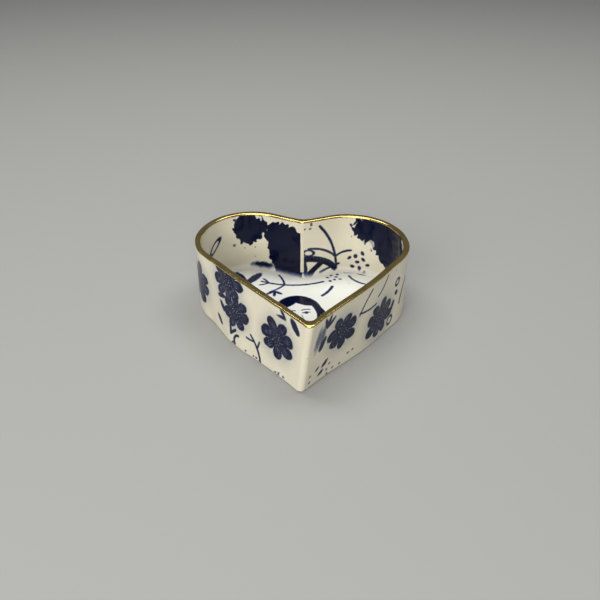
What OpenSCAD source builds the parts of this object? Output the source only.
// Heart-shaped porcelain trinket box, slab built: a floor slab, two bent wall slabs that meet at the
// front point and at the cleft, slip seams, printed and glazed faces, and a gold lustre rim.
// Frame: +Z up, +X right, the point faces -Y. Origin: centre of the underside.

/* [Box] */
// Height from the underside to the top of the rim
box_height = 31.4; // [24:0.2:45]
// Thickness of the floor slab
floor_thick = 3; // [2:0.1:5]
// Thickness of the wall slabs
wall_thick = 2; // [1.6:0.1:3.4]

/* [Heart] */
// Half width of the left lobe
left_lobe_x = 23; // [20:0.1:24.5]
// Half depth of the left lobe
left_lobe_y = 23.8; // [21:0.1:26]
// Half width of the right lobe
right_lobe_x = 24.4; // [21:0.1:25.5]
// Half depth of the right lobe
right_lobe_y = 25; // [21:0.1:26]
// How far the cleft is behind the origin
cleft_y = 35.5; // [33:0.1:38]
// How far the front point is in front of the origin, at the base
point_y = 43.6; // [38:0.1:46]
// How far the left side bows outwards
left_bow = 1.4; // [0:0.1:3]
// How far the right side bows outwards
right_bow = 1.4; // [0:0.1:3]
// How far the top of the front point leans to the right of its base
point_lean = 3.4; // [0:0.1:5]

/* [Finish] */
// Thickness of the printed and glazed face on each slab
glaze_thick = 0.12; // [0.08:0.01:0.3]
// Thickness of the gold lustre
gold_thick = 0.1; // [0.08:0.01:0.2]
// How far the gold laps down the outside
gold_lap_out = 1; // [0.6:0.1:2]
// How far the gold laps down the inside
gold_lap_in = 0.6; // [0.4:0.1:2]

/* [Hidden] */

LEFT = -1;
RIGHT = 1;
point_overhang = 0.5;   // how far the top of the front point stands in front of its base
left_centre = [-22, 19.8];
right_centre = [20.6, 16.4];
cleft = [0.4, cleft_y];
point_base = [-0.4, -point_y];
point_rim = point_base + [point_lean, -point_overhang];

front_gap = 1.6;        // along each outer face, from the point to the end of the slab
front_coil_end = 6;     // along each outer face, from the point to the end of the inside coil
cleft_gap = 1;          // along each face, from the cleft to the end of the slab
cleft_fillet_end = 3;   // along each outer face, from the cleft to the end of the outside fillet
foot_coil = 1.8;        // height and width of the coved coil along the foot of the walls
bow_skew = 1.6;         // above 1, the sides bow most nearer the lobes than the point
side_steps = 8;
lobe_steps = 38;
back_steps = 4;
seam_steps = 8;
cove_steps = 5;

// Rise of each seam's arc over half its chord
front_round = 0.5;
front_cove = 0.5;
cleft_fillet = 0.3;
cleft_bead = 0.75;

wall_top = box_height - gold_thick;
inner_face = wall_thick + glaze_thick;
foot_top = floor_thick + foot_coil;
lean_top = box_height - max(gold_lap_out, gold_lap_in);
porcelain = [0.85, 0.82, 0.75];
print_white = [0.9, 0.89, 0.85];
lustre = [0.75, 0.58, 0.22];

// ---- Plan outline: stations [point, slope] along the outer face; point + slope * depth goes inwards ----

function unit(v) = v / norm(v);
function turn(v, side) = side * [-v.y, v.x];
function mix(a, b, u) = a + (b - a) * u;
function angle_of(v) = atan2(v.y, v.x);

function lobe_centre(side) = side == LEFT ? left_centre : right_centre;
function lobe_radii(side) = side == LEFT ? [left_lobe_x, left_lobe_y] : [right_lobe_x, right_lobe_y];
function on_lobe(side, a) =
    let (c = lobe_centre(side), r = lobe_radii(side))
    [c.x + r.x * cos(a), c.y + r.y * sin(a)];

// Angle on the lobe where a line from q touches it. way is 1 or -1, for the two tangents.
function tangent_angle(side, q, way) =
    let (c = lobe_centre(side), r = lobe_radii(side), p = [(q.x - c.x) / r.x, (q.y - c.y) / r.y])
    angle_of(p) + way * acos(1 / norm(p));

// The front point stands plumb up to the foot coil, leans, and is plumb again under the gold.
function lean_share(z) = min(1, max(0, (z - foot_top) / (lean_top - foot_top)));
function point_at(z) = mix(point_base, point_rim, lean_share(z));

function outline(side, z) =
    let (
        tip = point_at(z),
        a0 = tangent_angle(side, tip, side) + (side == LEFT ? 360 : 0),
        a1 = tangent_angle(side, cleft, -side),
        foot = on_lobe(side, a0),
        head = on_lobe(side, a1),
        along = unit(foot - tip),
        back = unit(head - cleft),
        side_len = norm(foot - tip),
        bow = side == LEFT ? left_bow : right_bow
    )
    concat(
        [tip + along * front_gap],
        [for (i = [0:side_steps - 1])
            let (s = mix(front_coil_end, side_len, i / side_steps))
            tip + along * s - turn(along, side) * bow * pow(sin(180 * pow(s / side_len, bow_skew)), 2)],
        [for (i = [0:lobe_steps]) on_lobe(side, mix(a0, a1, i / lobe_steps))],
        [for (i = [1:back_steps - 1]) mix(head, cleft + back * cleft_fillet_end, i / back_steps)],
        [cleft + back * cleft_fillet_end, cleft + back * cleft_gap]
    );

// The two ends of a slab are cut straight back, so the seams between the slabs have flat sides.
function stations(side, z) =
    let (p = outline(side, z), last = len(p) - 1)
    [for (i = [0:last])
        let (
            inward = turn(unit(p[min(i + 1, last)] - p[max(i - 1, 0)]), side),
            slope = i == 0 || i == last ? [0, 1 / inward.y] : inward
        )
        [p[i], slope]];

function at_depth(s, depth) = s[0] + s[1] * depth;
function lift(p, z) = [p.x, p.y, z];
function reversed(list) = [for (i = [len(list) - 1:-1:0]) list[i]];

// The station i of one side, at one depth. A negative i counts back from the cleft.
function stop(side, z, i, depth) = let (s = stations(side, z)) at_depth(s[i < 0 ? len(s) + i : i], depth);

// An arc from a to b. Its middle stands to the left of the line from a to b by rise * half its length.
function bulge(a, b, rise) =
    let (
        half = norm(b - a) / 2,
        r = half * (1 + rise * rise) / (2 * abs(rise)),
        left = turn(unit(b - a), sign(rise)),
        centre = (a + b) / 2 + left * (abs(rise) * half - r),
        reach = asin(half / r)
    )
    [for (i = [0:seam_steps])
        let (t = mix(-reach, reach, i / seam_steps))
        centre + unit(b - a) * r * sin(t) + left * r * cos(t)];

function front_outside(z, depth) = bulge(stop(LEFT, z, 0, depth), stop(RIGHT, z, 0, depth), -front_round);
function front_inside(z, depth) = bulge(stop(LEFT, z, 1, depth), stop(RIGHT, z, 1, depth), -front_cove);
function cleft_outside(z, depth) = bulge(stop(RIGHT, z, -2, depth), stop(LEFT, z, -2, depth), cleft_fillet);
function cleft_inside(z, depth) = bulge(stop(RIGHT, z, -1, depth), stop(LEFT, z, -1, depth), cleft_bead);

// One side's points between the stations first and last, not counting either.
function run(side, z, depth, first, last) =
    let (s = stations(side, z)) [for (i = [first + 1:len(s) - 1 + last]) at_depth(s[i], depth)];

// Closed loops round the box, anticlockwise: front arc, right side, cleft arc, left side.
function outer_loop(z, depth) = concat(
    front_outside(z, depth), run(RIGHT, z, depth, 0, -2),
    cleft_outside(z, depth), reversed(run(LEFT, z, depth, 0, -2))
);
function inner_loop(z, depth) = concat(
    front_inside(z, depth), run(RIGHT, z, depth, 1, -1),
    cleft_inside(z, depth), reversed(run(LEFT, z, depth, 1, -1))
);

// ---- Solids from rows of cross-sections ----

// The leaning faces are not quite flat. Each quad is split from the low corner nearer the front, so
// that two solids that share a face split it the same way.
function low_y(p, q) = p.z < q.z ? p.y : q.y;
function quad(points, a, b, c, d) = low_y(points[a], points[d]) < low_y(points[b], points[c])
    ? [[a, d, b], [a, c, d]]
    : [[a, c, b], [b, c, d]];

// Faces run clockwise seen from outside. flip is for sections that run the other way round.
module sweep(sections, cap, flip = false) {
    n = len(sections[0]);
    end = (len(sections) - 1) * n;
    points = [for (s = sections) each s];
    skin = [for (i = [0:n:end - n], k = [0:n - 1])
        let (next = i + (k + 1) % n)
        each quad(points, i + k, next, i + n + k, next + n)];
    faces = concat(skin, cap, [for (f = cap) reversed([for (v = f) end + v])]);
    polyhedron(points, flip ? [for (f = faces) reversed(f)] : faces);
}

function whole(n) = [[for (k = [0:n - 1]) k]];
function rungs(n) = [for (k = [0:n / 2 - 2]) [k, k + 1, n - 2 - k, n - 1 - k]];

// A skin between two depths along one side, leaving out `spare` stations at the cleft.
module band(side, levels, depth0, depth1, first, spare) {
    rows = [for (z = levels) stations(side, z)];
    last = len(rows[0]) - 1 - spare;
    top = len(levels) - 1;
    sections = [for (i = [first:last]) concat(
        [for (j = [0:top]) lift(at_depth(rows[j][i], depth1), levels[j])],
        [for (j = [top:-1:0]) lift(at_depth(rows[j][i], depth0), levels[j])]
    )];
    sweep(sections, rungs(2 * len(levels)), flip = side == LEFT);
}

// ---- Sub-parts ----

module floor_slab() {
    color(porcelain) linear_extrude(floor_thick) polygon(outer_loop(0, -glaze_thick));
}

module wall(side) {
    color(porcelain) band(side, [floor_thick, foot_top, lean_top, wall_top], 0, wall_thick, 0, 0);
}

// A column of slip that fills the gap between the two slabs, from a function of the height.
module seam(section) {
    levels = [floor_thick, foot_top, lean_top, wall_top];
    sections = [for (z = levels) [for (p = section(z)) lift(p, z)]];
    color(print_white) sweep(sections, whole(len(sections[0])));
}

// Rounded outside, with a coved coil inside.
module front_seam() {
    seam(function (z) concat(
        front_outside(z, -glaze_thick),
        [stop(RIGHT, z, 0, wall_thick), stop(RIGHT, z, 1, wall_thick)],
        reversed(front_inside(z, inner_face)),
        [stop(LEFT, z, 1, wall_thick), stop(LEFT, z, 0, wall_thick)]
    ));
}

// A fillet outside, with a rounded bead inside.
module cleft_seam() {
    seam(function (z) concat(
        cleft_outside(z, -glaze_thick),
        [stop(LEFT, z, -2, 0), stop(LEFT, z, -1, 0)],
        reversed(cleft_inside(z, inner_face)),
        [stop(RIGHT, z, -1, 0), stop(RIGHT, z, -2, 0)]
    ));
}

// The coved coil that seals one wall to the floor.
module foot_coil(side) {
    cove = [for (i = [cove_steps:-1:0])
        let (a = 90 * i / cove_steps)
        [wall_thick + foot_coil * (1 - cos(a)), foot_top - foot_coil * sin(a)]];
    profile = concat([[wall_thick, floor_thick]], cove);
    stops = stations(side, floor_thick);
    sections = [for (i = [1:len(stops) - 1]) [for (p = profile) lift(at_depth(stops[i], p[0]), p[1])]];
    color(print_white) sweep(sections, whole(len(profile)), flip = side == LEFT);
}

module outer_print(side) {
    color(print_white) band(side, [floor_thick, foot_top, lean_top, wall_top], -glaze_thick, 0, 0, 1);
}

module inner_print(side) {
    color(print_white) band(side, [foot_top, lean_top, wall_top], wall_thick, inner_face, 1, 0);
}

module floor_print() {
    color(print_white) translate([0, 0, floor_thick]) linear_extrude(glaze_thick)
        polygon(inner_loop(floor_thick, wall_thick + foot_coil));
}

// A ring of one height between an outer and an inner loop.
module ring(z, height, outer, inner) {
    translate([0, 0, z]) linear_extrude(height) difference() {
        polygon(outer);
        polygon(inner);
    }
}

// The lustre caps the rim and laps down over the glaze on both faces.
module gold_rim() {
    out = outer_loop(box_height, -glaze_thick - gold_thick);
    in = inner_loop(box_height, inner_face + gold_thick);
    color(lustre) {
        ring(wall_top, gold_thick, out, in);
        ring(box_height - gold_lap_out, gold_lap_out, out, outer_loop(box_height, -glaze_thick));
        ring(box_height - gold_lap_in, gold_lap_in, inner_loop(box_height, inner_face), in);
    }
}

floor_slab();
wall(LEFT);  // left_wall
wall(RIGHT);  // right_wall
front_seam();
cleft_seam();
foot_coil(LEFT);  // left_foot_coil
foot_coil(RIGHT);  // right_foot_coil
outer_print(LEFT);  // outer_left_print
outer_print(RIGHT);  // outer_right_print
inner_print(LEFT);  // inner_left_print
inner_print(RIGHT);  // inner_right_print
floor_print();
gold_rim();
